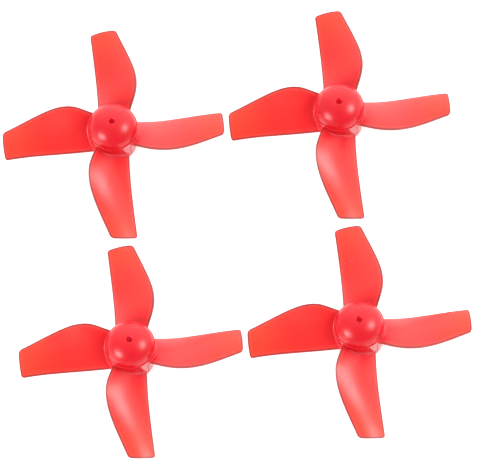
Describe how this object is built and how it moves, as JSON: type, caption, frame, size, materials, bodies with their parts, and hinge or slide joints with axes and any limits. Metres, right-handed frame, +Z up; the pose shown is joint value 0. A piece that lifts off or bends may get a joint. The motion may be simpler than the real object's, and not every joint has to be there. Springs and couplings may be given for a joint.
{
  "type": "micro drone propeller set",
  "caption": "Set of small moulded drone propellers with broad twisted blades, domed hollow hubs and a through bore for a fine motor shaft.",
  "frame": {"origin": "on the table, in the middle of the set, between the hubs", "axes": "+Z up along the shafts' axes, +X to the right and +Y to the rear of the two by two layout"},
  "size_m": [0.0626, 0.0632, 0.0077],
  "materials": {
    "red_plastic": "glossy, slightly see-through moulded plastic"
  },
  "bodies": {
    "front_left": {"propeller_front_left": "red_plastic"},
    "front_right": {"propeller_front_right": "red_plastic"},
    "rear_left": {"propeller_rear_left": "red_plastic"},
    "rear_right": {"propeller_rear_right": "red_plastic"}
  },
  "joints": [
    {"name": "front_right_lift", "type": "slide", "parent": "front_left", "child": "front_right", "axis": [0, 0, 1], "range_m": [0, 0.02]},
    {"name": "rear_left_lift", "type": "slide", "parent": "front_left", "child": "rear_left", "axis": [0, 0, 1], "range_m": [0, 0.02]},
    {"name": "rear_right_lift", "type": "slide", "parent": "front_left", "child": "rear_right", "axis": [0, 0, 1], "range_m": [0, 0.02]}
  ]
}
